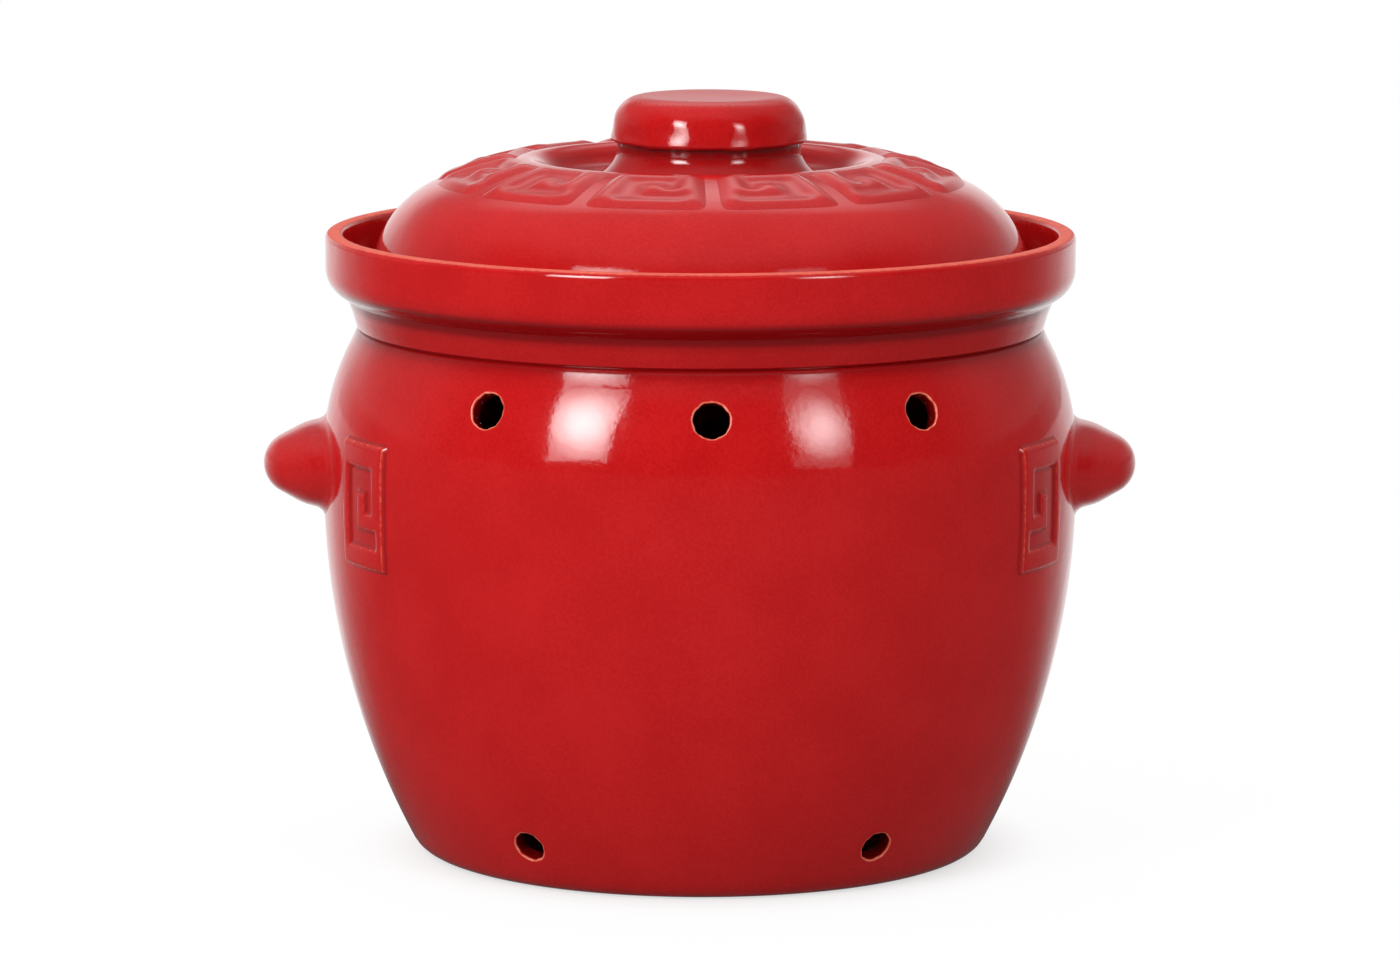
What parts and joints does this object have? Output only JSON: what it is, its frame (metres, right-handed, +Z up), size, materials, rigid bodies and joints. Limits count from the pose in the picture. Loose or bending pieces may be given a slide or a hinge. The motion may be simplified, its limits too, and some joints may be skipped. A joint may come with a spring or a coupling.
{
  "type": "potato storage pot",
  "caption": "Round red-glazed stoneware pot with vent holes, lug handles and key ornament, and a domed lid with a flat knob that lifts out of a guttered rim.",
  "frame": {"origin": "middle of the foot, on the surface that the pot stands on", "axes": "+Z up, front towards -Y, lugs along X"},
  "size_m": [0.327, 0.282, 0.283],
  "materials": {
    "red_glaze": "thick glossy red glaze over stoneware, thinner and orange-tan on sharp edges"
  },
  "bodies": {
    "pot": {"pot_body": "red_glaze", "neck_collar": "red_glaze", "rim_band": "red_glaze", "mouth_ring": "red_glaze", "left_lug": "red_glaze", "right_lug": "red_glaze", "front_left_plaque": "red_glaze", "front_right_plaque": "red_glaze", "rear_left_plaque": "red_glaze", "rear_right_plaque": "red_glaze"},
    "lid": {"lid_dome": "red_glaze", "knob_neck": "red_glaze", "knob_cap": "red_glaze", "frieze_panel_1": "red_glaze", "frieze_panel_2": "red_glaze", "frieze_panel_3": "red_glaze", "frieze_panel_4": "red_glaze", "frieze_panel_5": "red_glaze", "frieze_panel_6": "red_glaze", "frieze_panel_7": "red_glaze", "frieze_panel_8": "red_glaze", "frieze_panel_9": "red_glaze", "frieze_panel_10": "red_glaze", "frieze_panel_11": "red_glaze", "frieze_panel_12": "red_glaze"}
  },
  "joints": [
    {"name": "lid_lift", "type": "slide", "parent": "pot", "child": "lid", "axis": [0, 0, 1], "range_m": [0, 0.15]}
  ]
}
